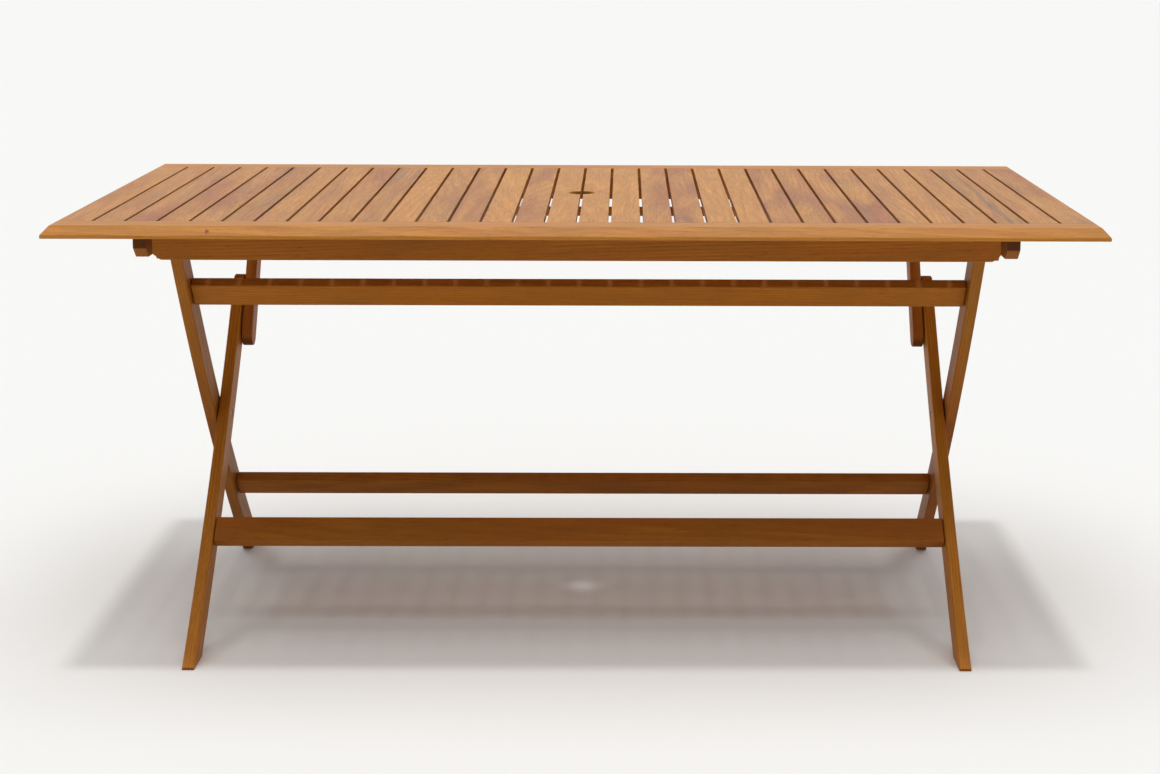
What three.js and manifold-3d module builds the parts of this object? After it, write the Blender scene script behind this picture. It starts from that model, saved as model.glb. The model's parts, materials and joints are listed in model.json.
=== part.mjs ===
// Folding garden table: a slatted hardwood top on a curved scissor frame.
// Millimetres, +Z up, +X along the table, -Y towards the front edge.
// The origin is on the floor under the centre of the top.
import * as THREE from 'three';
import { mergeVertices } from 'three/addons/utils/BufferGeometryUtils.js';
import Module from 'manifold-3d';

// ---- driving dimensions ------------------------------------------------------------------

const TABLE = { length: 1700, width: 900, height: 745 };

const TOP = {
  thickness: 20, // of the rails
  slatThickness: 12,
  railWidth: 66,
  bevelRun: 13, // how far the sloping outer edge comes in
  bevelDrop: 14.5, // how far it falls
  slatCount: 30,
  slatGap: 5,
  parasolHole: 46, // diameter
};

const UNDER = {
  apronThickness: 20,
  depth: 41, // of the aprons and the cross rails below the top's rails
  apronInset: 49, // apron's outer face behind the table's edge
  apronCut: { run: 13, rise: 10 }, // sawn-off lower corners
  apronEndGap: 11.6, // apron's end to the cross rail
  crossRailThickness: 22,
  crossRailInset: 133.4, // outer face in from the table's end
  crossRailEndInset: 61, // its ends in from the front and back edges
  crossRailCut: { run: 20, rise: 17 },
};

const LEG = {
  thickness: 20,
  width: 50,
  bow: 4200, // radius of the sabre curve
  frontFootInset: 74, // foot centres in from the table's edges
  backFootInset: 123.3,
  pivotInset: 154.2, // top pivot in from the front edge
  topClearance: 2, // outer leg's round top end below the rails' underside
  innerTail: 13, // inner leg beyond its bolt to the strut
  toeHeight: 4,
};

const STRETCHER = {
  thickness: 20,
  width: 48,
  outerUpper: 118, // along the leg, down from the top pivot
  outerLower: 248, // along the leg, up from the floor
  innerLower: 250,
  innerForward: 11, // towards the leg's front face
};

const STRUT = {
  thickness: 20,
  width: 45,
  pivotInset: 211, // top pivot in from the back edge
  pivotDrop: 46,
  spacing: 169, // between its two pivots
  lean: 30.8, // degrees from upright
  tail: 79, // beyond the lower pivot
  barDiameter: 18,
};

const BLOCK = {
  legThickness: 18,
  legHalfWidth: 34,
  legDepth: 60, // below the slats
  strutThickness: 22,
  strutHalfWidth: 30,
  bevel: 12,
};

const BOLT = {
  radius: 4,
  headRadius: 8.5,
  headLength: 4.5,
  headRecess: 6,
  nutRadius: 6,
  nutLength: 12,
  nutRecess: 13,
  collarRadius: 10.5,
  reach: 12, // of the leg bolt into the cross rail
};

const FIT = 0.3; // between pieces that meet
const SWING = 1.7; // between boards that turn past each other

// ---- places worked out from them ---------------------------------------------------------

const topFace = TABLE.height;
const underside = TABLE.height - TOP.thickness;
const slatUnderside = TABLE.height - TOP.slatThickness;
const halfLength = TABLE.length / 2;
const halfWidth = TABLE.width / 2;
const railInner = { x: halfLength - TOP.railWidth, y: halfWidth - TOP.railWidth };
const slatWidth =
  (2 * railInner.x - (TOP.slatCount + 1) * TOP.slatGap) / TOP.slatCount;

const crossRailOuter = halfLength - UNDER.crossRailInset;
const crossRailInner = crossRailOuter - UNDER.crossRailThickness;
const legBlockInner = crossRailInner - FIT - BLOCK.legThickness;

// Each swinging board is a thickness and a swing gap further in than the last.
const outerLeg = { high: legBlockInner - SWING, low: legBlockInner - SWING - LEG.thickness };
const innerLeg = { high: outerLeg.low - SWING, low: outerLeg.low - SWING - LEG.thickness };
const strutPlane = { high: innerLeg.low - SWING, low: innerLeg.low - SWING - STRUT.thickness };
const strutBlock = { high: strutPlane.low - SWING };
strutBlock.low = strutBlock.high - BLOCK.strutThickness;

// Pivots as [y, z].
const legPivotDrop = LEG.topClearance + LEG.width / 2;
const legPivot = [-halfWidth + LEG.pivotInset, underside - legPivotDrop];
const strutPivot = [halfWidth - STRUT.pivotInset, underside - STRUT.pivotDrop];
const strutLean = THREE.MathUtils.degToRad(STRUT.lean);
const strutDown = [-Math.sin(strutLean), -Math.cos(strutLean)];
const strutBolt = along(strutPivot, strutDown, STRUT.spacing);
const outerArc = sabreArc(legPivot, [halfWidth - LEG.backFootInset, 0]);
const innerArc = sabreArc(strutBolt, [-halfWidth + LEG.frontFootInset, 0]);
const crossing = arcsMeet(outerArc, innerArc);

// ---- plane geometry of the side view -----------------------------------------------------

function along([y, z], [dy, dz], distance) {
  return [y + dy * distance, z + dz * distance];
}

// The bowed centre line through a leg's top and foot. Its centre is above the leg, on the
// side the foot points to. dir is +1 when the foot is at the back, -1 when it is in front.
function sabreArc(top, foot) {
  const dir = Math.sign(foot[0] - top[0]);
  const chord = Math.hypot(foot[0] - top[0], foot[1] - top[1]);
  const normal = [(dir * (top[1] - foot[1])) / chord, (dir * (foot[0] - top[0])) / chord];
  const middle = [(top[0] + foot[0]) / 2, (top[1] + foot[1]) / 2];
  const centre = along(middle, normal, Math.sqrt(LEG.bow ** 2 - (chord / 2) ** 2));
  return { centre, dir, top, foot };
}

// The lower of the two points that both arcs pass through.
function arcsMeet(a, b) {
  const apart = [b.centre[0] - a.centre[0], b.centre[1] - a.centre[1]];
  const distance = Math.hypot(...apart);
  const middle = [(a.centre[0] + b.centre[0]) / 2, (a.centre[1] + b.centre[1]) / 2];
  const side = Math.sign(apart[0]);
  const down = [(side * apart[1]) / distance, (-side * apart[0]) / distance];
  return along(middle, down, Math.sqrt(LEG.bow ** 2 - (distance / 2) ** 2));
}

// Angle of a point round the arc's centre, seen with the foot always to the right.
function arcAngle(arc, [y, z]) {
  return Math.atan2(z - arc.centre[1], arc.dir * (y - arc.centre[0]));
}

// The point on the centre line a given way along the arc from another, and the unit
// vectors there: up the leg, and out from the arc's centre.
function arcPoint(arc, from, travel) {
  const angle = arcAngle(arc, from) - travel / LEG.bow;
  const out = [arc.dir * Math.cos(angle), Math.sin(angle)];
  const up = [arc.dir * Math.sin(angle), -Math.cos(angle)];
  return { point: along(arc.centre, out, LEG.bow), out, up };
}

// ---- solids ------------------------------------------------------------------------------

const wasm = await Module();
wasm.setup();

function toSolid(geometry) {
  const bare = geometry.clone();
  bare.deleteAttribute('normal');
  bare.deleteAttribute('uv');
  const merged = mergeVertices(bare, 1e-4);
  return new wasm.Manifold(
    new wasm.Mesh({
      numProp: 3,
      vertProperties: Float32Array.from(merged.attributes.position.array),
      triVerts: Uint32Array.from(merged.index.array),
    }),
  );
}

function toGeometry(solid) {
  const { vertProperties, triVerts } = solid.getMesh();
  const geometry = new THREE.BufferGeometry();
  geometry.setAttribute('position', new THREE.BufferAttribute(vertProperties, 3));
  geometry.setIndex(new THREE.BufferAttribute(triVerts, 1));
  geometry.computeVertexNormals();
  return geometry;
}

function cut(geometry, cutters) {
  return toGeometry(cutters.reduce((solid, c) => solid.subtract(toSolid(c)), toSolid(geometry)));
}

// A box from its two corners.
function box([x0, y0, z0], [x1, y1, z1]) {
  const geometry = new THREE.BoxGeometry(x1 - x0, y1 - y0, z1 - z0);
  return geometry.translate((x0 + x1) / 2, (y0 + y1) / 2, (z0 + z1) / 2);
}

// A board sawn to an outline in Y and Z, from x0 to x1.
const SIDEWAYS = new THREE.Matrix4().makeBasis(
  new THREE.Vector3(0, 1, 0),
  new THREE.Vector3(0, 0, 1),
  new THREE.Vector3(1, 0, 0),
);

function plate(outline, x0, x1) {
  const options = { depth: Math.abs(x1 - x0), bevelEnabled: false, curveSegments: 8 };
  const geometry = new THREE.ExtrudeGeometry(outline, options).applyMatrix4(SIDEWAYS);
  return geometry.translate(Math.min(x0, x1), 0, 0);
}

function polygon(points) {
  return new THREE.Shape(points.map(([a, b]) => new THREE.Vector2(a, b)));
}

// A round hole or pin along X at a pivot, from x0 to x1.
function cylinderX(radius, [y, z], x0, x1) {
  const geometry = new THREE.CylinderGeometry(radius, radius, Math.abs(x1 - x0), 32);
  return geometry.rotateZ(-Math.PI / 2).translate((x0 + x1) / 2, y, z);
}

// A turned piece along X: profile is [distance from x0 towards x1, radius] pairs.
function turned(profile, [y, z], x0, side) {
  const points = profile.map(([run, radius]) => new THREE.Vector2(radius, run));
  const geometry = new THREE.LatheGeometry(points, 24);
  return geometry.rotateZ((-side * Math.PI) / 2).translate(x0, y, z);
}

// ---- scene graph -------------------------------------------------------------------------

const WOOD = {
  slat: '#c58f5f',
  rail: '#c9924f',
  under: '#8a5426',
  leg: '#96602c',
};

const table = new THREE.Group();
const top = new THREE.Group();
const outerFrame = new THREE.Group();
const innerFrame = new THREE.Group();
const strutFrame = new THREE.Group();
table.add(top, outerFrame, innerFrame, strutFrame);

function place(group, name, geometry, colour, metal = false) {
  const material = new THREE.MeshStandardMaterial({
    color: colour,
    roughness: metal ? 0.35 : 0.6,
    metalness: metal ? 1 : 0,
  });
  const mesh = new THREE.Mesh(geometry, material);
  mesh.name = name;
  group.add(mesh);
  return mesh;
}

const SIDES = [
  ['left', -1],
  ['right', 1],
];

// ---- top ---------------------------------------------------------------------------------

// The whole top as one blank with its bevelled edge, which each rail is a part of.
function bevelledBlank() {
  const bevelFoot = topFace - TOP.bevelDrop;
  const lower = box([-halfLength, -halfWidth, underside], [halfLength, halfWidth, bevelFoot]);
  const upper = box([-halfLength, -halfWidth, bevelFoot], [halfLength, halfWidth, topFace]);
  const corners = upper.attributes.position;
  for (let i = 0; i < corners.count; i += 1) {
    if (corners.getZ(i) > bevelFoot + TOP.bevelDrop / 2) {
      corners.setX(i, Math.sign(corners.getX(i)) * (halfLength - TOP.bevelRun));
      corners.setY(i, Math.sign(corners.getY(i)) * (halfWidth - TOP.bevelRun));
    }
  }
  return toSolid(lower).add(toSolid(upper));
}

function addTopRails() {
  const blank = bevelledBlank();
  const rail = (low, high) => toGeometry(blank.intersect(toSolid(box(low, high))));
  const below = underside - 1;
  const above = topFace + 1;
  const end = railInner.y - FIT;
  place(top, 'front_rail', rail(
    [-halfLength, -halfWidth, below], [halfLength, -railInner.y, above]), WOOD.rail);
  place(top, 'back_rail', rail(
    [-halfLength, railInner.y, below], [halfLength, halfWidth, above]), WOOD.rail);
  place(top, 'left_end_rail', rail(
    [-halfLength, -end, below], [-railInner.x, end, above]), WOOD.slat);
  place(top, 'right_end_rail', rail(
    [railInner.x, -end, below], [halfLength, end, above]), WOOD.slat);
}

function addSlats() {
  const reach = railInner.y - FIT;
  const slat = box([-slatWidth / 2, -reach, slatUnderside], [slatWidth / 2, reach, topFace]);
  const hole = new THREE.CylinderGeometry(
    TOP.parasolHole / 2, TOP.parasolHole / 2, 3 * TOP.slatThickness, 48);
  hole.rotateX(Math.PI / 2).translate(0, 0, (slatUnderside + topFace) / 2);
  for (let i = 0; i < TOP.slatCount; i += 1) {
    const x = -railInner.x + TOP.slatGap + slatWidth / 2 + i * (slatWidth + TOP.slatGap);
    const meetsHole = Math.abs(x) < slatWidth;
    const geometry = meetsHole ? cut(slat, [hole.clone().translate(-x, 0, 0)]) : slat.clone();
    const name = `slat_${String(i + 1).padStart(2, '0')}`;
    place(top, name, geometry, WOOD.slat).position.x = x;
  }
}

const frameTop = underside - FIT;
const slatSeat = slatUnderside - FIT;
const frameFoot = underside - UNDER.depth;

function addAprons() {
  const end = crossRailInner - UNDER.apronEndGap;
  const { run, rise } = UNDER.apronCut;
  const outline = polygon([
    [-end + run, frameFoot],
    [end - run, frameFoot],
    [end, frameFoot + rise],
    [end, frameTop],
    [-end, frameTop],
    [-end, frameFoot + rise],
  ]);
  const board = new THREE.ExtrudeGeometry(outline, {
    depth: UNDER.apronThickness,
    bevelEnabled: false,
  });
  board.rotateX(Math.PI / 2); // outline upright, thickness towards -Y from y = 0
  const outer = halfWidth - UNDER.apronInset;
  place(top, 'front_apron', board, WOOD.under).position.y = -outer + UNDER.apronThickness;
  place(top, 'back_apron', board.clone(), WOOD.under).position.y = outer;
}

// The cross rails are notched at both ends for the long rails, and carry the slats between.
function addCrossRails() {
  const end = halfWidth - UNDER.crossRailEndInset;
  const notch = railInner.y - FIT;
  const { run, rise } = UNDER.crossRailCut;
  const outline = polygon([
    [-end + run, frameFoot],
    [end - run, frameFoot],
    [end, frameFoot + rise],
    [end, frameTop],
    [notch, frameTop],
    [notch, slatSeat],
    [-notch, slatSeat],
    [-notch, frameTop],
    [-end, frameTop],
    [-end, frameFoot + rise],
  ]);
  for (const [name, side] of SIDES) {
    const board = plate(outline, side * crossRailInner, side * crossRailOuter);
    const boltHole = cylinderX(
      BOLT.radius + FIT, legPivot,
      side * (crossRailInner - 1), side * (crossRailInner + BOLT.reach + FIT));
    place(top, `${name}_cross_rail`, cut(board, [boltHole]), WOOD.under);
  }
}

function blockOutline(y, halfBlock, foot) {
  return polygon([
    [y - halfBlock + BLOCK.bevel, foot],
    [y + halfBlock - BLOCK.bevel, foot],
    [y + halfBlock, foot + BLOCK.bevel],
    [y + halfBlock, slatSeat],
    [y - halfBlock, slatSeat],
    [y - halfBlock, foot + BLOCK.bevel],
  ]);
}

function addBlocks() {
  const legFoot = slatUnderside - BLOCK.legDepth;
  const legOutline = blockOutline(legPivot[0], BLOCK.legHalfWidth, legFoot);
  const strutFoot = strutPivot[1] - STRUT.barDiameter / 2 - BLOCK.bevel;
  const strutOutline = blockOutline(strutPivot[0], BLOCK.strutHalfWidth, strutFoot);
  for (const [name, side] of SIDES) {
    const legBlock = plate(legOutline, side * legBlockInner, side * (crossRailInner - FIT));
    const boltHole = cylinderX(
      BOLT.radius + FIT, legPivot, side * (legBlockInner - 1), side * (crossRailInner + 1));
    place(top, `${name}_leg_block`, cut(legBlock, [boltHole]), WOOD.under);

    const block = plate(strutOutline, side * strutBlock.low, side * strutBlock.high);
    const barHole = cylinderX(
      STRUT.barDiameter / 2 + FIT, strutPivot,
      side * (strutBlock.low - 1), side * (strutBlock.high + 1));
    place(top, `${name}_strut_block`, cut(block, [barHole]), WOOD.under);
  }
}

// ---- legs --------------------------------------------------------------------------------

// A leg's side view: two parallel bows, a round top end and a flat foot with a blunt toe.
function legOutline(arc, tail) {
  const half = LEG.width / 2;
  const endCentre = arcPoint(arc, arc.top, tail).point;
  const centre = [arc.dir * arc.centre[0], arc.centre[1]];
  const endAngle = arcAngle(arc, endCentre);
  const angleAt = (radius, z) => -Math.PI - Math.asin((z - centre[1]) / radius);
  const heel = LEG.bow + half;
  const toe = LEG.bow - half;
  const toeY = (z) => centre[0] - Math.sqrt(toe ** 2 - (z - centre[1]) ** 2);
  const right = new THREE.Shape();
  right.absarc(...centre, heel, angleAt(heel, 0), endAngle, true);
  right.absarc(arc.dir * endCentre[0], endCentre[1], half, endAngle, endAngle - Math.PI, true);
  right.absarc(...centre, toe, endAngle, angleAt(toe, LEG.toeHeight), false);
  right.lineTo(toeY(LEG.toeHeight), 0);
  return polygon(right.getPoints(8).map(({ x, y }) => [arc.dir * x, y]));
}

function stretcherOutline(arc, from, travel, forward) {
  const { point, out, up } = arcPoint(arc, from, travel);
  const centre = along(point, out, forward);
  const corner = (a, b) =>
    along(along(centre, up, (a * STRETCHER.width) / 2), out, (b * STRETCHER.thickness) / 2);
  return polygon([corner(-1, -1), corner(-1, 1), corner(1, 1), corner(1, -1)]);
}

function boltHole(pivot, plane, side) {
  return cylinderX(BOLT.radius + FIT, pivot, side * (plane.low - 1), side * (plane.high + 1));
}

function recess(radius, depth, pivot, face, inward) {
  return cylinderX(radius + FIT, pivot, face + inward * depth, face - inward);
}

function addOuterFrame() {
  const outline = legOutline(outerArc, 0);
  for (const [name, side] of SIDES) {
    const leg = plate(outline, side * outerLeg.low, side * outerLeg.high);
    const holes = [
      boltHole(legPivot, outerLeg, side),
      boltHole(crossing, outerLeg, side),
      recess(BOLT.headRadius, BOLT.headRecess, legPivot, side * outerLeg.low, side),
      recess(BOLT.headRadius, BOLT.headRecess, crossing, side * outerLeg.high, -side),
    ];
    place(outerFrame, `${name}_outer_leg`, cut(leg, holes), WOOD.leg);
  }
  const reach = outerLeg.low - FIT;
  const upper = stretcherOutline(outerArc, legPivot, -STRETCHER.outerUpper, 0);
  const lower = stretcherOutline(outerArc, outerArc.foot, STRETCHER.outerLower, 0);
  place(outerFrame, 'outer_upper_stretcher', plate(upper, -reach, reach), WOOD.under);
  place(outerFrame, 'outer_lower_stretcher', plate(lower, -reach, reach), WOOD.under);
}

function addInnerFrame() {
  const outline = legOutline(innerArc, LEG.innerTail);
  for (const [name, side] of SIDES) {
    const leg = plate(outline, side * innerLeg.low, side * innerLeg.high);
    const holes = [
      boltHole(strutBolt, innerLeg, side),
      boltHole(crossing, innerLeg, side),
      recess(BOLT.headRadius, BOLT.headRecess, strutBolt, side * innerLeg.high, -side),
      recess(BOLT.nutRadius, BOLT.nutRecess, crossing, side * innerLeg.low, side),
    ];
    place(innerFrame, `${name}_inner_leg`, cut(leg, holes), WOOD.leg);
  }
  const reach = innerLeg.low - FIT;
  const lower = stretcherOutline(
    innerArc, innerArc.foot, STRETCHER.innerLower, -STRETCHER.innerForward);
  place(innerFrame, 'inner_lower_stretcher', plate(lower, -reach, reach), WOOD.under);
}

function addStrutFrame() {
  const half = STRUT.width / 2;
  const length = STRUT.spacing + STRUT.tail;
  const outline = new THREE.Shape();
  outline.absarc(0, 0, half, 0, Math.PI, false);
  outline.absarc(0, -length, half, Math.PI, 2 * Math.PI, false);
  const barRadius = STRUT.barDiameter / 2;
  for (const [name, side] of SIDES) {
    const strut = plate(outline, side * strutPlane.low, side * strutPlane.high);
    strut.rotateX(-strutLean).translate(0, ...strutPivot);
    const holes = [
      cylinderX(barRadius + FIT, strutPivot, side * (strutPlane.low - 1),
        side * (strutPlane.high + 1)),
      boltHole(strutBolt, strutPlane, side),
      recess(BOLT.nutRadius, BOLT.nutRecess, strutBolt, side * strutPlane.low, side),
    ];
    place(strutFrame, `${name}_strut`, cut(strut, holes), WOOD.leg);
  }
  const bar = cylinderX(barRadius, strutPivot, -strutPlane.high, strutPlane.high);
  place(strutFrame, 'strut_pivot_bar', bar, WOOD.under);
}

// ---- bolts -------------------------------------------------------------------------------

const STEEL = '#8f8a80';
const crown = 1.2; // rounding at a bolt head's rim

// From the outside in: a domed head in its recess, the shank, a collar that keeps the two
// boards apart, and the barrel nut in the far board's recess.
function headProfile(sunk) {
  return [
    [sunk, 0],
    [sunk, BOLT.headRadius - crown],
    [sunk + crown, BOLT.headRadius],
    [sunk + BOLT.headLength, BOLT.headRadius],
    [sunk + BOLT.headLength, BOLT.radius],
  ];
}

function collarProfile(start) {
  return [
    [start + FIT, BOLT.radius],
    [start + FIT, BOLT.collarRadius],
    [start + SWING - FIT, BOLT.collarRadius],
    [start + SWING - FIT, BOLT.radius],
  ];
}

const headSunk = BOLT.headRecess - FIT - BOLT.headLength;

function nutProfile(start) {
  return [
    [start, BOLT.radius],
    [start, BOLT.nutRadius],
    [start + BOLT.nutLength, BOLT.nutRadius],
    [start + BOLT.nutLength, 0],
  ];
}

function addBolts() {
  const nutStart = (farFace) => farFace - BOLT.nutRecess + FIT;
  const crossingBolt = [
    ...headProfile(headSunk),
    ...collarProfile(LEG.thickness),
    ...nutProfile(nutStart(2 * LEG.thickness + SWING)),
  ];
  const legBoltEnd = LEG.thickness + SWING + BLOCK.legThickness + FIT + BOLT.reach;
  const legBolt = [
    ...headProfile(headSunk),
    ...collarProfile(LEG.thickness),
    [legBoltEnd - crown, BOLT.radius],
    [legBoltEnd, BOLT.radius - crown],
    [legBoltEnd, 0],
  ];
  const innerBolt = [
    ...headProfile(headSunk),
    [LEG.thickness + FIT, BOLT.radius],
    [LEG.thickness + FIT, BOLT.collarRadius],
    [LEG.thickness + SWING / 2, BOLT.collarRadius],
    [LEG.thickness + SWING / 2, 0],
  ];
  const strutNut = [
    [0, 0],
    [0, BOLT.radius],
    ...nutProfile(nutStart(STRUT.thickness)),
  ];
  for (const [name, side] of SIDES) {
    place(outerFrame, `${name}_crossing_bolt`,
      turned(crossingBolt, crossing, side * outerLeg.high, -side), STEEL, true);
    place(top, `${name}_leg_bolt`,
      turned(legBolt, legPivot, side * outerLeg.low, side), STEEL, true);
    place(innerFrame, `${name}_strut_bolt`,
      turned(innerBolt, strutBolt, side * innerLeg.high, -side), STEEL, true);
    place(strutFrame, `${name}_strut_nut`,
      turned(strutNut, strutBolt, side * strutPlane.high, -side), STEEL, true);
  }
}

addTopRails();
addSlats();
addAprons();
addCrossRails();
addBlocks();
addOuterFrame();
addInnerFrame();
addStrutFrame();
addBolts();

export default table;
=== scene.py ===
"""Folding garden table in oiled hardwood: the boards, bolts and finishes that show.

Metres, +Z up, +X along the table, -Y towards its front edge. Each piece takes its place from
the frame's nodes and joints, and sizes that are written here are in millimetres.
"""

import json
import math
import random

import bmesh
import bpy
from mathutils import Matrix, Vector

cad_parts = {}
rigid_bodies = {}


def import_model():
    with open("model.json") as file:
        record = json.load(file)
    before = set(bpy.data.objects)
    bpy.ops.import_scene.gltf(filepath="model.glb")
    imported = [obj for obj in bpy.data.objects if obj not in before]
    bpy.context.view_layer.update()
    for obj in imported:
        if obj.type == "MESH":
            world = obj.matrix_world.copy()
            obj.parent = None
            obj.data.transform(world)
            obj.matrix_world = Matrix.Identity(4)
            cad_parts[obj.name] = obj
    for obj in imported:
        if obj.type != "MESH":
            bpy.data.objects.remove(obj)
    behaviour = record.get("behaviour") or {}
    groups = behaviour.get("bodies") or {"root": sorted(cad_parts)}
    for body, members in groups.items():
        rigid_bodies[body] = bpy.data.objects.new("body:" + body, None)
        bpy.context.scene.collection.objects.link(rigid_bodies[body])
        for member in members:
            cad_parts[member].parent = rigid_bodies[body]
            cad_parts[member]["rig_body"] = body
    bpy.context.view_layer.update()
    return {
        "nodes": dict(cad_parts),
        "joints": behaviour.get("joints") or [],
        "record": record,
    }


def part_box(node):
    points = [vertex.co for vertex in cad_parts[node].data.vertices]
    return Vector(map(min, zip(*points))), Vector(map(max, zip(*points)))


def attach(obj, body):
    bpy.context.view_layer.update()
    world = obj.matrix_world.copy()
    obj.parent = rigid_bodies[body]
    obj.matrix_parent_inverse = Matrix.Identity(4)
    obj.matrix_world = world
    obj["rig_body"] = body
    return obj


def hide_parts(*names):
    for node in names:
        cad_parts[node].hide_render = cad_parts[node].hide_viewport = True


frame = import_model()

MM = 0.001
SIDES = (("left", -1), ("right", 1))

# ---- sizes of the pieces, in millimetres ----------------------------------------------------

TOP_ARRIS = 1.1  # rounding of the top's boards
FRAME_ARRIS = 1.6  # of the aprons, cross rails and blocks
LEG_ARRIS = 2.6  # of everything that swings
ARRIS_STEPS = 3

EDGE_RUN = 13  # how far the top's sloping edge comes in
EDGE_DROP = 14.5  # and how far it falls
PARASOL_HOLE = 46
APRON_CUT = (13, 10)  # sawn-off lower corners: along the board, and up
CROSS_RAIL_CUT = (20, 17)
BLOCK_BEVEL = 12

LEG_WIDTH = 50
LEG_THICKNESS = 20
LEG_BOW = 4200  # radius of the sabre curve
LEG_STEPS = 28  # each longer than the rounding of its end
INNER_TAIL = 13  # inner leg past its top bolt
STRETCHER = (20, 48)  # thickness, and width along the leg
STRUT_WIDTH = 45
STRUT_TAIL = 79  # past its lower bolt
BAR = 18
END_STEPS = 12  # in a quarter of a rounded end

BOLT = 4  # radii
BOLT_HEAD = 8.5
NUT = 6
COLLAR = 10.5
COLLAR_THICKNESS = 1.1
NUT_LENGTH = 12
NUT_RIM = 0.6  # turned off the nut's end
POINT = 1.2  # turned off a bolt's end
HEAD_RECESS = 6
NUT_RECESS = 13
HEAD_LENGTH = 4.5
SOCKET = 3.2  # hexagon socket's radius and depth
SOCKET_DEPTH = 2.6
CLEARANCE = 0.3
ROUND = 48  # sides of a turned piece

KNOT = (-586, 6)  # on the front rail: place along the table, and up its sloping edge
KNOT_REACH = (6, 5)  # along the table, and up
KNOT_RAGS = 4  # how coarse its ragged rim is

# ---- places taken from the frame ------------------------------------------------------------

joints = {joint["name"]: joint for joint in frame["joints"]}
slot_of = {part["node"]: part["material_slot"] for part in frame["record"]["subparts"]}


def centre_of(node):
    low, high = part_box(node)
    return (low + high) / 2


def side_view(point):
    """A point's place in the side view, as a vector with no length along the table."""
    return Vector((0, point[1], point[2]))


leg_pivot = side_view(joints["leg_fold"]["pos_m"])
crossing = side_view(joints["leg_crossing"]["pos_m"])
strut_pivot = side_view(joints["strut_swing"]["pos_m"])
strut_bolt = side_view(centre_of("left_strut_nut"))


def sabre_centre(upper, lower):
    """Centre of a leg's curve through two points on it. It is above the leg."""
    half = (lower - upper) / 2
    rise = math.sqrt((LEG_BOW * MM) ** 2 - half.length_squared)
    towards = Vector((0, -half.z, half.y)).normalized()
    if towards.z < 0:
        towards.negate()
    return upper + half + towards * rise


outer_curve = sabre_centre(leg_pivot, crossing)
inner_curve = sabre_centre(strut_bolt, crossing)

# ---- modelling ------------------------------------------------------------------------------


def deselect():
    bpy.ops.object.select_all(action="DESELECT")


def adopt(name):
    """Names the primitive that was just added and puts its place into its mesh."""
    piece = bpy.context.object
    piece.name = piece.data.name = name
    bpy.ops.object.transform_apply(location=True, rotation=True, scale=True)
    return piece


def blank(name, low, high):
    """A squared board between two corners."""
    deselect()
    low, high = Vector(low), Vector(high)
    bpy.ops.mesh.primitive_cube_add(size=1, location=(low + high) / 2, scale=high - low)
    return adopt(name)


def leaning_blank(name, centre, size, lean):
    """A squared board of a size in metres, turned about the table's long axis."""
    deselect()
    bpy.ops.mesh.primitive_cube_add(size=1, location=centre, rotation=(lean, 0, 0), scale=size)
    return adopt(name)


def edit(piece):
    deselect()
    piece.select_set(True)
    bpy.context.view_layer.objects.active = piece
    bpy.ops.object.mode_set(mode="EDIT")
    bpy.ops.mesh.select_all(action="SELECT")


def done():
    bpy.ops.object.mode_set(mode="OBJECT")


def saw(piece, point, normal):
    """Saws off what lies beyond a plane and closes the cut."""
    edit(piece)
    bpy.ops.mesh.bisect(plane_co=point, plane_no=normal, use_fill=True, clear_outer=True)
    done()


def round_over(piece, chosen, radius):
    """Rounds the cross edges for which chosen is true of both ends."""
    edit(piece)
    bpy.ops.mesh.select_all(action="DESELECT")
    bpy.ops.mesh.select_mode(type="EDGE")
    shape = bmesh.from_edit_mesh(piece.data)
    for edge in shape.edges:
        ends = [vertex.co for vertex in edge.verts]
        crosswise = abs(ends[0].x - ends[1].x) > 0.9 * (ends[0] - ends[1]).length
        edge.select_set(crosswise and all(chosen(end) for end in ends))
    bmesh.update_edit_mesh(piece.data)
    bpy.ops.mesh.bevel(offset=radius * 0.9995, segments=END_STEPS, affect="EDGES")
    bpy.ops.mesh.select_all(action="SELECT")
    bpy.ops.mesh.remove_doubles(threshold=0.1 * MM)
    done()


def apply(piece, kind, **settings):
    modifier = piece.modifiers.new(kind.lower(), kind)
    for name, value in settings.items():
        setattr(modifier, name, value)
    deselect()
    piece.select_set(True)
    bpy.context.view_layer.objects.active = piece
    bpy.ops.object.modifier_apply(modifier=modifier.name)


def cut(piece, cutter):
    apply(piece, "BOOLEAN", object=cutter, operation="DIFFERENCE", solver="EXACT")
    bpy.data.meshes.remove(cutter.data)


def drill(piece, at, radius, x0, x1, sides=ROUND):
    """Drills along the table at a place in the side view, from x0 to x1."""
    deselect()
    bpy.ops.mesh.primitive_cylinder_add(
        vertices=sides, radius=radius * MM, depth=abs(x1 - x0),
        location=((x0 + x1) / 2, at.y, at.z), rotation=(0, math.pi / 2, 0))
    cut(piece, adopt("drill"))


def ease(piece, arris):
    """Rounds every sharp edge over, as sandpaper does."""
    apply(piece, "BEVEL", width=arris * MM, segments=ARRIS_STEPS, limit_method="ANGLE",
          angle_limit=math.radians(35), use_clamp_overlap=False)


def smooth(piece):
    """Smooth over the arrises, with the flat faces kept flat."""
    deselect()
    piece.select_set(True)
    bpy.context.view_layer.objects.active = piece
    bpy.ops.object.shade_smooth_by_angle(angle=math.radians(40))
    apply(piece, "WEIGHTED_NORMAL", mode="FACE_AREA", weight=50, keep_sharp=True)


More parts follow.
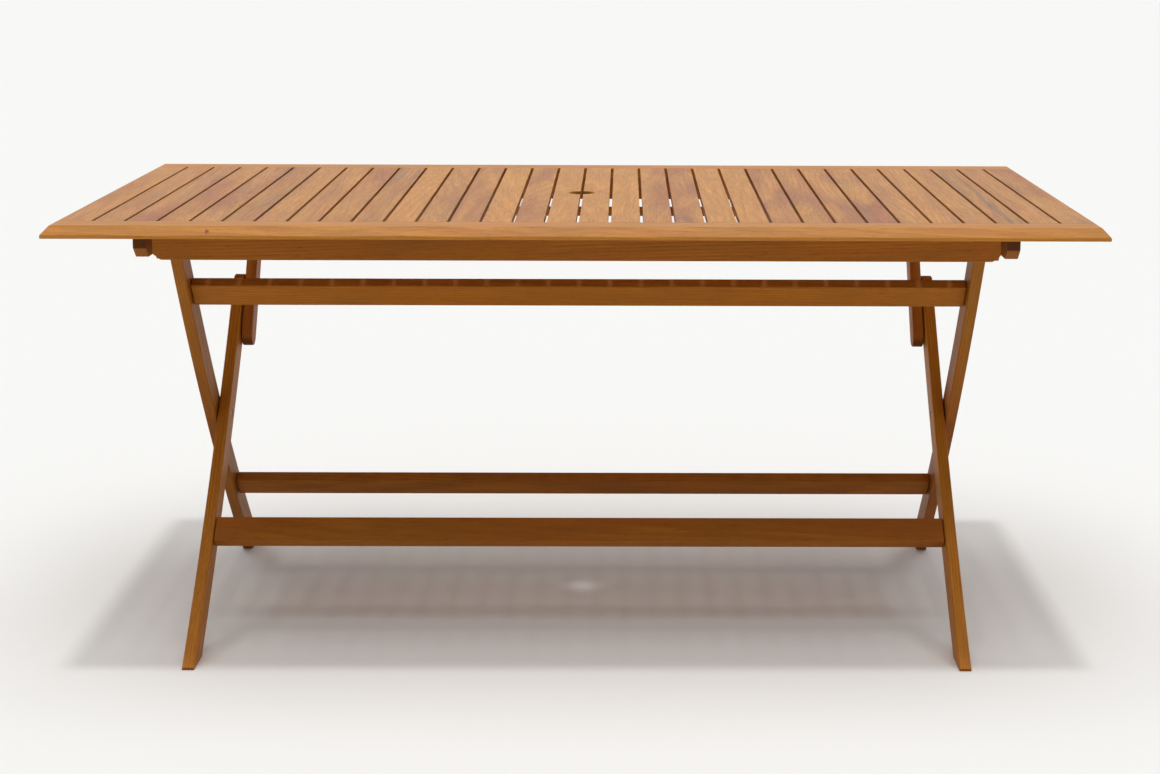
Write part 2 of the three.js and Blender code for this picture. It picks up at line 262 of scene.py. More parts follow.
def turned(name, profile, start, along):
    """A turned piece from a point along an axis. profile is (run, radius) in millimetres."""
    deselect()
    run, radius = profile[0]
    bpy.ops.mesh.primitive_circle_add(
        vertices=ROUND, radius=radius * MM, fill_type="NGON", location=start + along * run * MM,
        rotation=along.to_track_quat("Z", "Y").to_euler())
    piece = adopt(name)
    edit(piece)
    for next_run, next_radius in profile[1:]:
        bpy.ops.mesh.extrude_region_move(
            TRANSFORM_OT_translate={"value": along * (next_run - run) * MM})
        grow = next_radius / radius
        bpy.ops.transform.resize(
            value=[1 if turn else grow for turn in along],
            center_override=start + along * next_run * MM)
        run, radius = next_run, next_radius
    bpy.ops.mesh.select_all(action="SELECT")
    bpy.ops.mesh.normals_make_consistent(inside=False)
    done()
    return piece


# ---- grain ----------------------------------------------------------------------------------

# Each board's blush (golden to pink), lightness and ash (how much grey heartwood runs in it). The
# legs' two tones differ in lightness as painted light and painted shade.
TONES = {
    "golden": (0.08, 1.04, 0.05),
    "tan": (0.42, 1.01, 0.3),
    "red": (0.75, 0.97, 0.08),
    "pink": (0.9, 0.99, 0.4),
    "ash": (0.45, 0.94, 0.65),
    "grey": (0.35, 0.93, 1.0),
    # The inner legs' tone: its extra lightness is painted light on their upward faces.
    "painted_light_pale": (0.0, 1.12, 0.0),
    # The outer legs' tone: its lower lightness is painted shade on their downward faces; its blush
    # and ash are the wood's own.
    "painted_shade_brown": (0.6, 0.86, 0.1),
}

# The slats from left to right.
SLAT_TONES = (
    "tan pink red pink ash tan tan red ash golden pink red golden red golden "
    "golden golden red pink golden golden red red red pink tan tan tan grey tan"
).split()

logs = random.Random(1907)


def lay_grain(piece, lie, tone):
    """Records where each point lay in its log. lie turns a point into its distances along,
    across and through the board; the log's heart runs a little askew below the board."""
    along0 = logs.uniform(0, 20)
    across0 = logs.uniform(-0.05, 0.05)
    through0 = logs.choice((-1, 1)) * logs.uniform(0.03, 0.11)
    askew = (logs.uniform(-0.05, 0.05), logs.uniform(-0.035, 0.035))
    blush, light, ash = TONES[tone]
    light *= logs.uniform(0.98, 1.02)
    mesh = piece.data
    places, tones = [], []
    for vertex in mesh.vertices:
        along, across, through = lie(vertex.co)
        places += (along0 + along, across0 + across + askew[0] * along,
                   through0 + through + askew[1] * along)
        tones += (blush, light, ash)
    for name, values in (("grain", places), ("tone", tones)):
        attribute = mesh.attributes.new(name, "FLOAT_VECTOR", "POINT")
        attribute.data.foreach_set("vector", values)
    ends = []
    for face in mesh.polygons:
        ahead = lie(face.center + face.normal * MM)[0] - lie(face.center)[0]
        ends.append(min(1.0, max(0.0, abs(ahead) / MM * 2 - 1)))
    mesh.attributes.new("end", "FLOAT", "FACE").data.foreach_set("value", ends)


def along_table(point):
    return point.x, point.z, point.y


def across_table(point):
    return point.y, point.x, point.z


def long_board(point):
    """A board of the top that runs along the table and lies flat."""
    return point.x, point.y, point.z


def down_leg(curve):
    """A sabre leg, whose grain is taken to follow its curve."""
    def lie(point):
        arm = side_view(point) - curve
        turn = math.atan2(arm.y, -arm.z)
        return turn * LEG_BOW * MM, arm.length - LEG_BOW * MM, point.x
    return lie


def down_strut(point):
    """A strut, whose grain runs straight from its upper pivot to its bolt."""
    arm = side_view(point) - strut_pivot
    down = (strut_bolt - strut_pivot).normalized()
    side = Vector((0, -down.z, down.y))
    return arm.dot(down), arm.dot(side), point.x


# ---- materials ------------------------------------------------------------------------------


def linear(code):
    """An sRGB hex colour as linear red, green, blue and alpha."""
    parts = [int(code[i:i + 2], 16) / 255 for i in (1, 3, 5)]
    curve = [c / 12.92 if c <= 0.04045 else ((c + 0.055) / 1.055) ** 2.4 for c in parts]
    return (*curve, 1.0)


def add(tree, kind, settings, links):
    """Adds a node with its settings. Each link is a value or another node's output."""
    node = tree.nodes.new("ShaderNode" + kind)
    for name, value in settings.items():
        setattr(node, name, value)
    for name, value in links.items():
        socket = node.inputs[name]
        if isinstance(value, bpy.types.NodeSocket):
            tree.links.new(value, socket)
        else:
            socket.default_value = value
    return node


def new_material(name):
    material = bpy.data.materials.new(name)
    material.use_nodes = True
    material.node_tree.nodes.clear()
    return material, material.node_tree


# Real sizes of the wood's pattern, in millimetres: along the grain, and across it.
RING = 5.5  # a year's growth
WANDER = (900, 160)  # how slowly the rings bend
UNEVEN = (2000, 11)  # years of more and less growth
FIBRE = (70, 1.6)
PORE = (16, 0.9)  # drawn about twice as coarse as the real ones, to show
FIGURE = (170, 38)  # soft cloudy bands where the fibres dip and shimmer in the light; their lightness in the colour is painted sheen
PATCH = (340, 45)  # redder heartwood
HEART = (800, 15)  # greyer heartwood
VEIN = (420, 3.2)  # thin dark mineral lines

SOFT_STEP = {"interpolation_type": "SMOOTHSTEP"}


def stretched(tree, place, size, detail, distortion=0.0):
    """Noise drawn out along the grain: size is its length along and its width across."""
    along, across = (1 / (length * MM) for length in size)
    scaled = add(tree, "VectorMath", {"operation": "MULTIPLY"},
                 {0: place, 1: (along, across, across)})
    noise = add(tree, "TexNoise", {}, {
        "Vector": scaled.outputs[0], "Scale": 1.0, "Detail": detail, "Roughness": 0.55,
        "Distortion": distortion})
    return noise.outputs["Fac"]


def oiled_hardwood(name, early, late, blush, ash, pore, satin, sheen, knotty=False):
    """Oiled plantation hardwood, planed and sanded: a satin, close-grained surface with soft
    growth rings, short dark pores, cloudy figure and streaks of greyer heart. The figure's
    shimmer is painted into the colour as lighter and darker bands, a painted sheen."""
    material, tree = new_material(name)
    grain = add(tree, "Attribute", {"attribute_name": "grain"}, {}).outputs["Vector"]
    tone = add(tree, "Attribute", {"attribute_name": "tone"}, {}).outputs["Vector"]
    board = add(tree, "SeparateXYZ", {}, {0: tone})

    wander = stretched(tree, grain, WANDER, 0.0)
    drift = add(tree, "MapRange", SOFT_STEP, {
        0: wander, 1: 0.2, 2: 0.8, 3: -0.009, 4: 0.009}).outputs[0]
    sway = add(tree, "CombineXYZ", {}, {0: 0.0, 1: drift, 2: drift})
    place = add(tree, "VectorMath", {"operation": "ADD"}, {0: grain, 1: sway.outputs[0]})
    place = place.outputs[0]

    # The distance from the log's heart, counted in rings that are not all one width.
    round_heart = add(tree, "VectorMath", {"operation": "MULTIPLY"}, {0: place, 1: (0, 1, 1)})
    reach = add(tree, "VectorMath", {"operation": "LENGTH"}, {0: round_heart.outputs[0]})
    uneven = stretched(tree, place, UNEVEN, 1.0)
    years = add(tree, "Math", {"operation": "MULTIPLY_ADD"}, {
        0: reach.outputs["Value"], 1: 1 / (RING * MM), 2: uneven})
    year = add(tree, "Math", {"operation": "FRACT"}, {0: years.outputs[0]}).outputs[0]
    grown = add(tree, "MapRange", SOFT_STEP, {0: year, 1: 0.0, 2: 0.75}).outputs[0]
    rest = add(tree, "MapRange", SOFT_STEP, {0: year, 1: 0.8, 2: 1.0, 3: 1.0, 4: 0.0}).outputs[0]
    ring = add(tree, "Math", {"operation": "MULTIPLY"}, {0: grown, 1: rest}).outputs[0]

    fibre = stretched(tree, place, FIBRE, 4.0)
    pores = stretched(tree, place, PORE, 1.0)
    pores = add(tree, "MapRange", SOFT_STEP, {0: pores, 1: 0.6, 2: 0.74}).outputs[0]
    figure = stretched(tree, place, FIGURE, 1.0)
    heart = stretched(tree, place, HEART, 2.0)
    heart = add(tree, "MapRange", SOFT_STEP, {0: heart, 1: 0.42, 2: 0.66}).outputs[0]
    patch = stretched(tree, place, PATCH, 1.5)
    patch = add(tree, "MapRange", SOFT_STEP, {0: patch, 1: 0.32, 2: 0.66}).outputs[0]
    veins = stretched(tree, place, VEIN, 1.5)
    veins = add(tree, "MapRange", SOFT_STEP, {0: veins, 1: 0.6, 2: 0.72}).outputs[0]

    ring_depth = add(tree, "MapRange", SOFT_STEP, {
        0: figure, 1: 0.3, 2: 0.7, 3: 0.1, 4: 0.4}).outputs[0]
    from_ring = add(tree, "Math", {"operation": "MULTIPLY"}, {0: ring, 1: ring_depth})
    from_fibre = add(tree, "MapRange", SOFT_STEP, {
        0: fibre, 1: 0.3, 2: 0.75, 3: 0.15, 4: 0.5}).outputs[0]
    depth = add(tree, "Math", {"operation": "ADD", "use_clamp": True}, {
        0: from_ring.outputs[0], 1: from_fibre})
    colour = add(tree, "Mix", {"data_type": "RGBA"}, {
        0: depth.outputs[0], 6: linear(early), 7: linear(late)}).outputs[2]

    pinker = add(tree, "Math", {"operation": "MULTIPLY"}, {0: board.outputs[0], 1: patch})
    colour = add(tree, "Mix", {"data_type": "RGBA"}, {
        0: pinker.outputs[0], 6: colour, 7: linear(blush)}).outputs[2]
    greyer = add(tree, "Math", {"operation": "MULTIPLY"}, {0: board.outputs[2], 1: heart})
    greyer = add(tree, "Math", {"operation": "MULTIPLY"}, {0: greyer.outputs[0], 1: 0.75})
    colour = add(tree, "Mix", {"data_type": "RGBA"}, {
        0: greyer.outputs[0], 6: colour, 7: linear(ash)}).outputs[2]

    # Oil soaks into the end grain, which is left darker.
    end = add(tree, "Attribute", {"attribute_name": "end"}, {}).outputs["Fac"]
    soaked = add(tree, "MapRange", {}, {0: end, 3: 1.0, 4: 0.3}).outputs[0]
    # The figure's shimmer, painted into the colour: a painted sheen that makes its bands lighter and
    # darker.
    painted_shimmer = add(tree, "MapRange", SOFT_STEP, {
        0: figure, 1: 0.25, 2: 0.75, 3: 0.9, 4: 1.1}).outputs[0]
    light = add(tree, "Math", {"operation": "MULTIPLY"}, {0: board.outputs[1], 1: painted_shimmer})
    light = add(tree, "Math", {"operation": "MULTIPLY"}, {0: light.outputs[0], 1: soaked})
    shade = add(tree, "CombineXYZ", {}, {
        0: light.outputs[0], 1: light.outputs[0], 2: light.outputs[0]})
    colour = add(tree, "Mix", {"data_type": "RGBA", "blend_type": "MULTIPLY"}, {
        0: 1.0, 6: colour, 7: shade.outputs[0]}).outputs[2]
    veined = add(tree, "Math", {"operation": "MULTIPLY_ADD"}, {
        0: board.outputs[2], 1: 0.4, 2: 0.12})
    veined = add(tree, "Math", {"operation": "MULTIPLY"}, {0: veined.outputs[0], 1: veins})
    colour = add(tree, "Mix", {"data_type": "RGBA"}, {
        0: veined.outputs[0], 6: colour, 7: linear(pore)}).outputs[2]
    pitted = add(tree, "Math", {"operation": "MULTIPLY"}, {0: pores, 1: 0.35})
    colour = add(tree, "Mix", {"data_type": "RGBA"}, {
        0: pitted.outputs[0], 6: colour, 7: linear(pore)}).outputs[2]
    if knotty:
        colour = with_knot(tree, colour)

    rough = add(tree, "MapRange", SOFT_STEP, {
        0: fibre, 1: 0.3, 2: 0.7, 3: satin - 0.05, 4: satin + 0.08}).outputs[0]
    height = add(tree, "Math", {"operation": "SUBTRACT"}, {0: fibre, 1: pores})
    bump = add(tree, "Bump", {}, {
        "Strength": 0.22, "Distance": 0.25 * MM, "Height": height.outputs[0]})
    skin = add(tree, "BsdfPrincipled", {}, {
        "Base Color": colour, "Roughness": rough, "Normal": bump.outputs[0], "IOR": 1.47,
        "Specular IOR Level": sheen})
    add(tree, "OutputMaterial", {}, {"Surface": skin.outputs[0]})
    return material


def with_knot(tree, colour):
    """A small tight knot with a dark rim, in the front rail's sloping edge."""
    low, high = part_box("front_rail")
    along, up = (size * MM for size in KNOT)
    wide, tall = (size * MM for size in KNOT_REACH)
    spot = (along, low.y + EDGE_RUN * MM / 2, high.z - EDGE_DROP * MM + up)
    here = add(tree, "TexCoord", {}, {}).outputs["Object"]
    wobble = add(tree, "TexNoise", {}, {"Vector": here, "Scale": 1 / (KNOT_RAGS * MM), "Detail": 2.0})
    offset = add(tree, "VectorMath", {"operation": "SUBTRACT"}, {0: here, 1: spot})
    flat = add(tree, "VectorMath", {"operation": "MULTIPLY"}, {
        0: offset.outputs[0], 1: (1 / wide, 0, 1 / tall)})
    reach = add(tree, "VectorMath", {"operation": "LENGTH"}, {0: flat.outputs[0]})
    ragged = add(tree, "Math", {"operation": "MULTIPLY_ADD"}, {
        0: wobble.outputs["Fac"], 1: 1.4, 2: reach.outputs["Value"]}).outputs[0]
    rim = add(tree, "MapRange", SOFT_STEP, {
        0: ragged, 1: 0.8, 2: 1.5, 3: 0.85, 4: 0.0}).outputs[0]
    core = add(tree, "MapRange", SOFT_STEP, {
        0: ragged, 1: 0.4, 2: 0.85, 3: 0.6, 4: 0.0}).outputs[0]
    colour = add(tree, "Mix", {"data_type": "RGBA"}, {
        0: rim, 6: colour, 7: linear("#5a2416")}).outputs[2]
    return add(tree, "Mix", {"data_type": "RGBA"}, {
        0: core, 6: colour, 7: linear("#8c4a2c")}).outputs[2]


def zinc_plated_steel():
    """Turned steel with a thin zinc coat gone dull: grey, with faint bloom; its lathe rings are not
    drawn.
    """
    material, tree = new_material("zinc_plated_steel")
    here = add(tree, "TexCoord", {}, {}).outputs["Object"]
    bloom = add(tree, "TexNoise", {}, {"Vector": here, "Scale": 1 / (3 * MM), "Detail": 3.0})
    bloom = bloom.outputs["Fac"]
    colour = add(tree, "Mix", {"data_type": "RGBA"}, {
        0: bloom, 6: linear("#8d8a83"), 7: linear("#6c675f")}).outputs[2]
    rough = add(tree, "MapRange", SOFT_STEP, {
        0: bloom, 1: 0.3, 2: 0.7, 3: 0.34, 4: 0.52}).outputs[0]
    bump = add(tree, "Bump", {}, {"Strength": 0.15, "Distance": 0.1 * MM, "Height": bloom})
    skin = add(tree, "BsdfPrincipled", {}, {
        "Base Color": colour, "Metallic": 1.0, "Roughness": rough, "Normal": bump.outputs[0]})
    add(tree, "OutputMaterial", {}, {"Surface": skin.outputs[0]})
    return material


WOODS = {
    "slats": oiled_hardwood("oiled_hardwood_slat", "#c98a30", "#a36420", "#9c5826",
                            "#7d5a41", "#4c230c", 0.44, 0.38),
    "rails": oiled_hardwood("oiled_hardwood_rail", "#c6842a", "#a05f19", "#a05c20",
                            "#856034", "#4c230b", 0.44, 0.3, knotty=True),
    "under_frame": oiled_hardwood("oiled_hardwood_frame", "#ad6a1c", "#81470d", "#995416",
                                  "#6f4b26", "#371906", 0.5, 0.14),
    "legs": oiled_hardwood("oiled_hardwood_leg", "#b4731e", "#8a4d12", "#9c541c",
                           "#755230", "#3c1c08", 0.5, 0.14),
}
STEEL = zinc_plated_steel()

# ---- putting a piece in its place -----------------------------------------------------------


def fit(piece, node, material):
    """The piece stands for its node, rides on the node's body and takes its slot's finish."""
    smooth(piece)
    piece.data.materials.clear()
    piece.data.materials.append(material)
    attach(piece, frame["nodes"][node]["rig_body"])
    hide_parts(node)


def fit_board(piece, node, lie, tone):
    lay_grain(piece, lie, tone)
    fit(piece, node, WOODS[slot_of[node]])


# ---- top ------------------------------------------------------------------------------------


def slope(piece, edge_x=None, edge_y=None):
    """Planes the sloping edge along one outer side of the top. The edge is that side's X or Y."""
    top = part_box("front_rail")[1].z
    foot = top - EDGE_DROP * MM
    outward = Vector((math.copysign(EDGE_DROP, edge_x), 0, EDGE_RUN) if edge_x else
                     (0, math.copysign(EDGE_DROP, edge_y), EDGE_RUN))
    saw(piece, (edge_x or 0, edge_y or 0, foot), outward.normalized())


def make_rails():
    low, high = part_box("front_rail")
    half_length = high.x
    half_width = -low.y
    for name, side in (("front", -1), ("back", 1)):
        node = name + "_rail"
        rail = blank(node + "_board", *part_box(node))
        slope(rail, edge_y=side * half_width)
        slope(rail, edge_x=-half_length)
        slope(rail, edge_x=half_length)
        ease(rail, TOP_ARRIS)
        fit_board(rail, node, long_board, "golden")
    for (name, side), tone in zip(SIDES, ("tan", "pink")):
        node = name + "_end_rail"
        rail = blank(node + "_board", *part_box(node))
        slope(rail, edge_x=side * half_length)
        ease(rail, TOP_ARRIS)
        fit_board(rail, node, across_table, tone)


def make_slats():
    plain = blank("slat", *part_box("slat_01"))
    ease(plain, TOP_ARRIS)
    for number, tone in enumerate(SLAT_TONES, start=1):
        node = f"slat_{number:02d}"
        slat = plain.copy()
        slat.data = plain.data.copy()
        slat.name = slat.data.name = node + "_board"
        bpy.context.scene.collection.objects.link(slat)
        slat.location = centre_of(node) - centre_of("slat_01")
        deselect()
        slat.select_set(True)
        bpy.context.view_layer.objects.active = slat
        bpy.ops.object.transform_apply(location=True, rotation=False, scale=False)
        if abs(centre_of(node).x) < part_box(node)[1].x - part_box(node)[0].x:
            cut_parasol_hole(slat)
        fit_board(slat, node, across_table, tone)
    bpy.data.meshes.remove(plain.data)


def cut_parasol_hole(slat):
    """The hole flares at both rims, which rounds them over."""
    low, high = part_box("slat_01")
    thick = (high.z - low.z) / MM
    rim = 2.0
    rounding = [(rim * math.sin(turn), rim - rim * math.cos(turn))
                for turn in (0.0, 0.4, 0.8, 1.2, math.pi / 2)]
    wide = PARASOL_HOLE / 2
    profile = [(-1, wide + rim + 1)]
    profile += [(rim - rise, wide + spread) for rise, spread in reversed(rounding)]
    profile += [(thick - rim + rise, wide + spread) for rise, spread in rounding]
    profile += [(thick + 1, wide + rim + 1)]
    cut(slat, turned("hole_saw", profile, Vector((0, 0, low.z)), Vector((0, 0, 1))))


# ---- frame under the top --------------------------------------------------------------------


def clip_corners(piece, low, high, axis, run, rise):
    """Saws off both lower corners at the two ends along an axis."""
    for end, sign in ((low[axis], -1), (high[axis], 1)):
        point = Vector(((low.x + high.x) / 2, (low.y + high.y) / 2, low.z + rise * MM))
        point[axis] = end
        normal = Vector((0, 0, -run))
        normal[axis] = sign * rise
        saw(piece, point, normal.normalized())


def make_aprons():
    for name in ("front", "back"):
        node = name + "_apron"
        low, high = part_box(node)
        apron = blank(node + "_board", low, high)
        clip_corners(apron, low, high, 0, *APRON_CUT)
        ease(apron, FRAME_ARRIS)
        fit_board(apron, node, along_table, "tan")


def make_cross_rails():
    for name, side in SIDES:
        node = name + "_cross_rail"
        low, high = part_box(node)
        rail = blank(node + "_board", low, high)
        clip_corners(rail, low, high, 1, *CROSS_RAIL_CUT)
        ease(rail, FRAME_ARRIS)
        notch_for_long_rails(rail, low, high)
        inner = low.x if side > 0 else high.x
        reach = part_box(name + "_leg_bolt")
        end = (reach[1].x if side > 0 else reach[0].x) + side * CLEARANCE * MM
        drill(rail, leg_pivot, BOLT + CLEARANCE, inner - side * MM, end)
        fit_board(rail, node, lambda point: (point.y, point.z, point.x), "red")


def notch_for_long_rails(rail, low, high):
    """The long rails of the top sit in a notch at each end."""
    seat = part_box("front_apron")[1].z
    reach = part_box("left_end_rail")[1].y
    for near, far in ((reach, high.y + MM), (low.y - MM, -reach)):
        cut(rail, blank("notch", (low.x - MM, near, seat), (high.x + MM, far, high.z + MM)))


def make_blocks():
    for name, _ in SIDES:
        for kind, at, radius in (("leg", leg_pivot, BOLT), ("strut", strut_pivot, BAR / 2)):
            node = f"{name}_{kind}_block"
            low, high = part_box(node)
            block = blank(node + "_board", low, high)
            clip_corners(block, low, high, 1, BLOCK_BEVEL, BLOCK_BEVEL)
            ease(block, FRAME_ARRIS)
            drill(block, at, radius + CLEARANCE, low.x - MM, high.x + MM)
            fit_board(block, node, lambda point: (point.y, point.z, point.x), "tan")


# ---- legs, stretchers and struts ------------------------------------------------------------


def bent_blank(name, low_x, high_x, curve, end, sweep):
    """A leg's blank: its section, carried round the curve from its top end."""
    deselect()
    out = (end - curve).normalized()
    bpy.ops.mesh.primitive_plane_add(
        size=1, location=((low_x + high_x) / 2, end.y, end.z),
        rotation=(math.atan2(out.z, out.y), 0, 0))
    bpy.context.object.scale = (high_x - low_x, LEG_WIDTH * MM, 1)
    leg = adopt(name)
    edit(leg)
    bpy.ops.mesh.spin(steps=LEG_STEPS, angle=sweep, center=curve, axis=(1, 0, 0))
    bpy.ops.mesh.select_all(action="SELECT")
    bpy.ops.mesh.remove_doubles(threshold=1e-5)
    bpy.ops.mesh.delete_loose()
    bpy.ops.mesh.select_all(action="SELECT")
    bpy.ops.mesh.fill_holes(sides=4)
    bpy.ops.mesh.normals_make_consistent(inside=False)
    done()
    return leg


def sabre_leg(node, curve, pivot, tail, foot_side):
    """A leg from its rounded top end, past its pivot, to its flat foot with a blunt toe."""
    low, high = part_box(node)
    half = LEG_WIDTH * MM / 2
    up = Vector((0, -(pivot - curve).z, (pivot - curve).y)).normalized()
    if up.z < 0:
        up.negate()
    end = curve + (pivot + up * (tail * MM + half) - curve).normalized() * LEG_BOW * MM
    length = (high - low).length + LEG_WIDTH * MM
    sweep = -foot_side * length / (LEG_BOW * MM)
    leg = bent_blank(node + "_board", low.x, high.x, curve, end, sweep)
    tip = (end - curve).normalized().cross(Vector((1, 0, 0)))
    if tip.z < 0:
        tip.negate()
    round_over(leg, lambda point: (side_view(point) - end).dot(tip) > -MM, half)
    ease(leg, LEG_ARRIS)
    saw(leg, (0, 0, low.z), (0, 0, -1))
    toe = high.y if foot_side > 0 else low.y
    saw(leg, (0, toe, 0), (0, foot_side, 0))
    return leg


def make_legs():
    for name, side in SIDES:
        node = name + "_outer_leg"
        low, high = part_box(node)
        inner, outer = (low.x, high.x) if side > 0 else (high.x, low.x)
        leg = sabre_leg(node, outer_curve, leg_pivot, 0, 1)
        for at in (leg_pivot, crossing):
            drill(leg, at, BOLT + CLEARANCE, low.x - MM, high.x + MM)
        drill(leg, leg_pivot, BOLT_HEAD + CLEARANCE,
              inner - side * MM, inner + side * HEAD_RECESS * MM)
        drill(leg, crossing, BOLT_HEAD + CLEARANCE,
              outer + side * MM, outer - side * HEAD_RECESS * MM)
        # The outer legs are painted darker: painted shade.
        fit_board(leg, node, down_leg(outer_curve), "painted_shade_brown")

        node = name + "_inner_leg"
        low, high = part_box(node)
        inner, outer = (low.x, high.x) if side > 0 else (high.x, low.x)
        leg = sabre_leg(node, inner_curve, strut_bolt, INNER_TAIL, -1)
        for at in (strut_bolt, crossing):
            drill(leg, at, BOLT + CLEARANCE, low.x - MM, high.x + MM)
        drill(leg, strut_bolt, BOLT_HEAD + CLEARANCE,
              outer + side * MM, outer - side * HEAD_RECESS * MM)
        drill(leg, crossing, NUT + CLEARANCE,
              inner - side * MM, inner + side * NUT_RECESS * MM)
        # The inner legs are painted lighter: painted light.
        fit_board(leg, node, down_leg(inner_curve), "painted_light_pale")


def make_stretchers():
    thickness, width = (size * MM for size in STRETCHER)
    for node, curve, tone in (
        ("outer_upper_stretcher", outer_curve, "golden"),
        ("outer_lower_stretcher", outer_curve, "tan"),
        ("inner_lower_stretcher", inner_curve, "red"),
    ):
        low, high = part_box(node)
        centre = (low + high) / 2
        out = side_view(centre) - curve
        size = (high.x - low.x, thickness, width)
        board = leaning_blank(node + "_board", centre, size, math.atan2(out.z, out.y))
        ease(board, LEG_ARRIS)
        fit_board(board, node, along_table, tone)


def make_struts():
    down = strut_bolt - strut_pivot
    length = down.length + STRUT_TAIL * MM
    middle = strut_pivot + down.normalized() * length / 2
    lean = math.atan2(-down.y, -down.z)
    half = STRUT_WIDTH * MM / 2
    for name, side in SIDES:
        node = name + "_strut"
        low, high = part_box(node)
        inner = low.x if side > 0 else high.x
        size = (high.x - low.x, 2 * half, length + 2 * half)
        centre = ((low.x + high.x) / 2, middle.y, middle.z)
        strut = leaning_blank(node + "_board", centre, size, -lean)
        round_over(strut, lambda point: True, half)
        ease(strut, LEG_ARRIS)
        drill(strut, strut_pivot, BAR / 2 + CLEARANCE, low.x - MM, high.x + MM)
        drill(strut, strut_bolt, BOLT + CLEARANCE, low.x - MM, high.x + MM)
        drill(strut, strut_bolt, NUT + CLEARANCE,
              inner - side * MM, inner + side * NUT_RECESS * MM)
        fit_board(strut, node, down_strut, "red")


def make_bar():
    """The round bar that joins the struts, its rims turned off."""
    low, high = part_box("strut_pivot_bar")
    length = (high.x - low.x) / MM
    rim = 1.0
    radius = BAR / 2
    profile = ((0, radius - rim), (0.3 * rim, radius - 0.3 * rim), (rim, radius),
               (length - rim, radius), (length - 0.3 * rim, radius - 0.3 * rim),
               (length, radius - rim))
    start = Vector((low.x, strut_pivot.y, strut_pivot.z))
    bar = turned("strut_pivot_bar_board", profile, start, Vector((1, 0, 0)))
    fit_board(bar, "strut_pivot_bar", along_table, "tan")


# ---- bolts ----------------------------------------------------------------------------------


def head_steps():
    """A low domed head with a rounded rim, then the shank."""
    crown = 1.2
    return [(0, BOLT_HEAD - 2 * crown), (0.25 * crown, BOLT_HEAD - crown),
            (0.6 * crown, BOLT_HEAD - 0.35 * crown), (crown, BOLT_HEAD),
            (HEAD_LENGTH, BOLT_HEAD), (HEAD_LENGTH, BOLT)]


def screw(node, profile, at, side):
    """A bolt or nut turned along the table towards a side, from its node's far end."""
    low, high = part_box(node)
    start = Vector((low.x if side > 0 else high.x, at.y, at.z))
    return turned(node + "_steel", profile, start, Vector((side, 0, 0)))


def socket(piece, at, face, side):
    """The hexagon socket for its key."""
    drill(piece, at, SOCKET, face - side * MM, face + side * SOCKET_DEPTH * MM, sides=6)


def length_of(node):
    low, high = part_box(node)
    return (high.x - low.x) / MM


def collar_steps(run):
    return [(run, BOLT), (run, COLLAR),
            (run + COLLAR_THICKNESS, COLLAR), (run + COLLAR_THICKNESS, BOLT)]


def nut_steps(length):
    """A barrel nut at the end of a profile of a length."""
    return [(length - NUT_LENGTH, BOLT), (length - NUT_LENGTH, NUT),
            (length - NUT_RIM, NUT), (length, NUT - NUT_RIM)]


def make_bolts():
    shank = LEG_THICKNESS - (HEAD_RECESS - CLEARANCE - HEAD_LENGTH) + CLEARANCE
    for name, side in SIDES:
        crossing_node = name + "_crossing_bolt"
        steps = head_steps() + collar_steps(shank) + nut_steps(length_of(crossing_node))
        finish_bolt(crossing_node, steps, crossing, -side)

        leg_node = name + "_leg_bolt"
        length = length_of(leg_node)
        steps = head_steps() + collar_steps(shank)
        steps += [(length - POINT, BOLT), (length, BOLT - POINT)]
        finish_bolt(leg_node, steps, leg_pivot, side)

        strut_node = name + "_strut_bolt"
        steps = head_steps() + [(shank, BOLT), (shank, COLLAR), (length_of(strut_node), COLLAR)]
        finish_bolt(strut_node, steps, strut_bolt, -side)

        nut_node = name + "_strut_nut"
        steps = [(0, BOLT)] + nut_steps(length_of(nut_node))
        nut = screw(nut_node, steps, strut_bolt, -side)
        low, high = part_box(nut_node)
        socket(nut, strut_bolt, low.x if side > 0 else high.x, side)
        fit(nut, nut_node, STEEL)


def finish_bolt(node, steps, at, side):
    """Turns a bolt and cuts the socket in its head."""
    bolt = screw(node, steps, at, side)
    low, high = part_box(node)
    socket(bolt, at, low.x if side > 0 else high.x, side)
    fit(bolt, node, STEEL)


# ---- floor, light and camera ----------------------------------------------------------------

FOCAL = 67.0  # lens in millimetres
EYE = (0.0759, -3.8341, 1.2271)
LOOK_RIGHT = 0.00589  # radians
LOOK_DOWN = 0.15167
TILT = 0.00369
SHIFT = (-0.05, -0.1181)  # the view's crop, as shares of its width

FLOOR = 400  # metres across, so that its far edge is lost in the sweep
BELOW_FEET = 0.0005
ROOM = 0.34  # the room's brightness, of the white sweep's


def make_camera():
    data = bpy.data.cameras.new("camera")
    data.lens = FOCAL
    data.sensor_width = 36.0
    data.shift_x, data.shift_y = SHIFT
    data.clip_end = 400.0
    camera = bpy.data.objects.new("camera", data)
    bpy.context.scene.collection.objects.link(camera)
    camera.location = EYE
    camera.rotation_euler = (math.pi / 2 - LOOK_DOWN, -TILT, -LOOK_RIGHT)
    bpy.context.scene.camera = camera


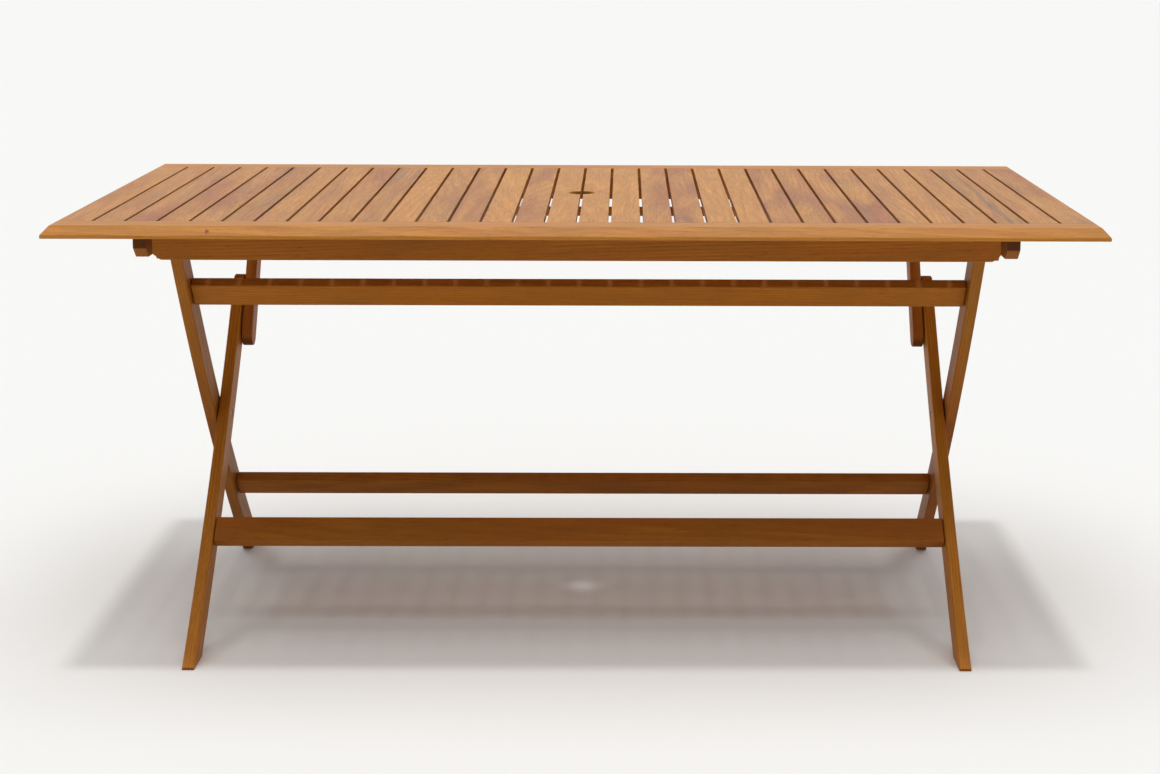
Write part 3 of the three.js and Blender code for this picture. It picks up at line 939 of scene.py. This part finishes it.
def overhead_light(name, share, spread, forward):
    """A light over the whole studio. share is what it adds to a white floor's brightness,
    spread its width and forward how far it stands towards the front, both in degrees."""
    data = bpy.data.lights.new(name, "SUN")
    data.energy = share * math.pi
    data.angle = math.radians(spread)
    lamp = bpy.data.objects.new(name, data)
    bpy.context.scene.collection.objects.link(lamp)
    lamp.rotation_euler = (math.radians(forward), 0, 0)


def make_surroundings():
    """A dim room in front of the table and overhead, and a white sweep low down behind it."""
    world = bpy.data.worlds.new("studio")
    world.use_nodes = True
    tree = world.node_tree
    tree.nodes.clear()
    ray = add(tree, "TexCoord", {}, {}).outputs["Generated"]
    ray = add(tree, "SeparateXYZ", {}, {0: ray})
    behind = add(tree, "MapRange", SOFT_STEP, {0: ray.outputs["Y"], 1: 0.0, 2: 0.7}).outputs[0]
    low = add(tree, "MapRange", SOFT_STEP, {
        0: ray.outputs["Z"], 1: 0.25, 2: 0.6, 3: 1.0, 4: 0.0}).outputs[0]
    sweep = add(tree, "Math", {"operation": "MULTIPLY"}, {0: behind, 1: low})
    strength = add(tree, "MapRange", SOFT_STEP, {
        0: sweep.outputs[0], 1: 0.0, 2: 1.0, 3: ROOM, 4: 1.0}).outputs[0]
    sky = add(tree, "Background", {}, {"Color": linear("#fbfbfc"), "Strength": strength})
    add(tree, "OutputWorld", {}, {"Surface": sky.outputs[0]})
    bpy.context.scene.world = world


def make_studio():
    deselect()
    bpy.ops.mesh.primitive_plane_add(size=FLOOR, location=(0, 0, -BELOW_FEET))
    floor = bpy.context.object
    floor.name = "floor"
    material, tree = new_material("pale_paper_floor")
    skin = add(tree, "BsdfPrincipled", {}, {
        "Base Color": linear("#e6e6e4"), "Roughness": 0.9, "Specular IOR Level": 0.2})
    add(tree, "OutputMaterial", {}, {"Surface": skin.outputs[0]})
    floor.data.materials.append(material)
    make_surroundings()
    overhead_light("broad_overhead", 0.58, 60, 6)
    overhead_light("narrow_overhead", 0.25, 4, 4)


make_camera()
make_rails()
make_slats()
make_aprons()
make_cross_rails()
make_blocks()
make_legs()
make_stretchers()
make_struts()
make_bar()
make_bolts()
make_studio()

bpy.context.scene.view_settings.view_transform = "Standard"
